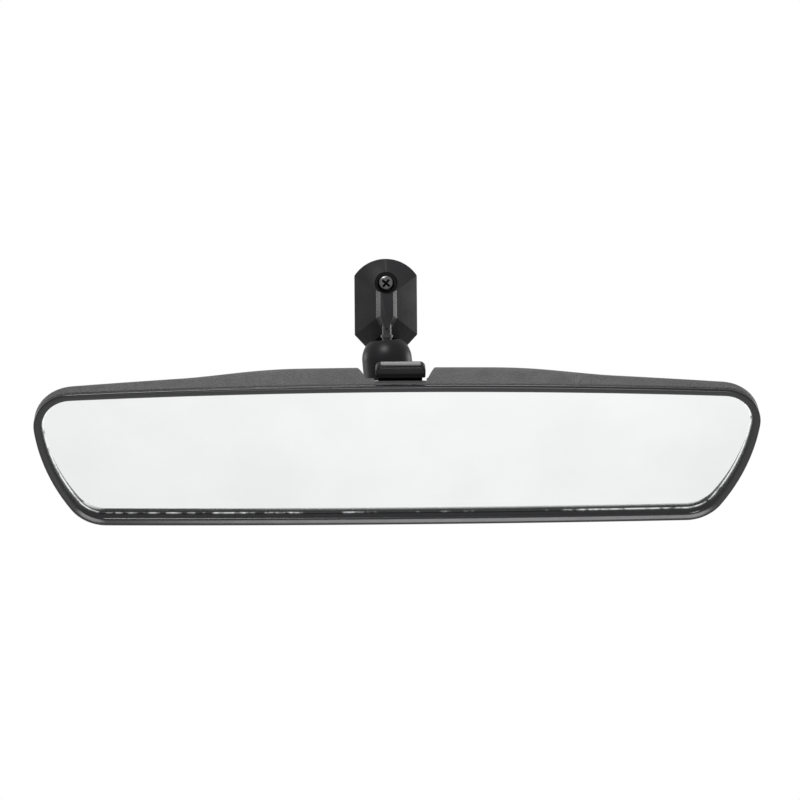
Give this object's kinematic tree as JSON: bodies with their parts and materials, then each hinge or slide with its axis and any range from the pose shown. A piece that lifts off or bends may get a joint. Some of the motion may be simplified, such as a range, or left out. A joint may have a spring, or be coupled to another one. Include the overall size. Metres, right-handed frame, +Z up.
{
  "type": "interior rearview mirror",
  "caption": "Glass-bonded interior rearview mirror: faceted foot, double-ball swivel arm and a wide wedge-glass head with a day and night toggle.",
  "frame": {"origin": "centre of the bonding face, which lies on the windscreen", "axes": "+Y out through the glass along the bond face's normal, +X along the mirror's width, +Z up"},
  "size_m": [0.2554, 0.0478, 0.0962],
  "materials": {
    "dark_metal": "satin dark grey casting",
    "zinc": "zinc plated",
    "pad": "soft white acrylic foam",
    "red_liner": "red polyester film",
    "steel": "bright turned",
    "nylon": "natural",
    "arm_black": "satin black",
    "spring_steel": "oiled wire",
    "housing_grain": "fine moulded grain, charcoal",
    "rim_black": "smooth black",
    "glass": "clear wedge glass",
    "silver": "silvered",
    "foam": "soft grey foam",
    "gloss_black": "gloss black"
  },
  "bodies": {
    "foot": {"mount_foot": "dark_metal", "foot_screw": "zinc", "mount_plate": "zinc", "adhesive_pad": "pad", "release_liner": "red_liner", "upper_ball_stud": "steel"},
    "upper_seat": {"upper_ball_seat": "nylon"},
    "upper_ring": {"upper_friction_ring": "nylon"},
    "arm": {"swivel_arm": "arm_black", "arm_end_cap": "arm_black", "arm_spring": "spring_steel", "upper_spring_cup": "steel", "lower_spring_cup": "steel"},
    "lower_ring": {"lower_friction_ring": "nylon"},
    "lower_seat": {"lower_ball_seat": "nylon"},
    "bracket": {"lower_ball_stud": "steel", "stud_nut": "steel", "pivot_bracket": "zinc", "pivot_pin_left": "steel", "pivot_pin_right": "steel", "detent_spring": "spring_steel"},
    "head": {"rear_housing": "housing_grain", "front_bezel": "rim_black", "mirror_glass": "glass", "mirror_silvering": "silver", "backing_pad": "foam", "toggle_pin": "steel"},
    "toggle": {"toggle_lever": "gloss_black"}
  },
  "joints": [
    {"name": "foot_fore_aft", "type": "hinge", "parent": "foot", "child": "upper_seat", "pos_m": [0, -0.0135, -0.02], "axis": [1, 0, 0], "range_deg": [-17, 5]},
    {"name": "foot_side_swing", "type": "hinge", "parent": "upper_seat", "child": "upper_ring", "pos_m": [0, -0.0135, -0.02], "axis": [0, 1, 0], "range_deg": [-8, 10]},
    {"name": "foot_spin", "type": "hinge", "parent": "upper_ring", "child": "arm", "pos_m": [0, -0.0135, -0.02], "axis": [-0.0866, 0, 0.9962], "range_deg": [-20, 20]},
    {"name": "head_pan", "type": "hinge", "parent": "arm", "child": "lower_ring", "pos_m": [0.0026, -0.0135, -0.0499], "axis": [-0.0866, 0, 0.9962], "range_deg": [-30, 30]},
    {"name": "head_tilt", "type": "hinge", "parent": "lower_ring", "child": "lower_seat", "pos_m": [0.0026, -0.0135, -0.0499], "axis": [1, 0, 0], "range_deg": [-15, 15]},
    {"name": "head_roll", "type": "hinge", "parent": "lower_seat", "child": "bracket", "pos_m": [0.0026, -0.0135, -0.0499], "axis": [0, -0.8572, -0.515], "range_deg": [-6, 6]},
    {"name": "day_night_tilt", "type": "hinge", "parent": "bracket", "child": "head", "pos_m": [0.0026, -0.01126, -0.06139], "axis": [1, 0, 0], "range_deg": [0, 4.5]},
    {"name": "toggle_flip", "type": "hinge", "parent": "head", "child": "toggle", "pos_m": [0.0038, -0.03836, -0.03007], "axis": [-1, 0, 0], "range_deg": [0, 60]}
  ],
  "couplings": [
    {"joint": "toggle_flip", "follows": "day_night_tilt", "ratio": 13.333}
  ]
}
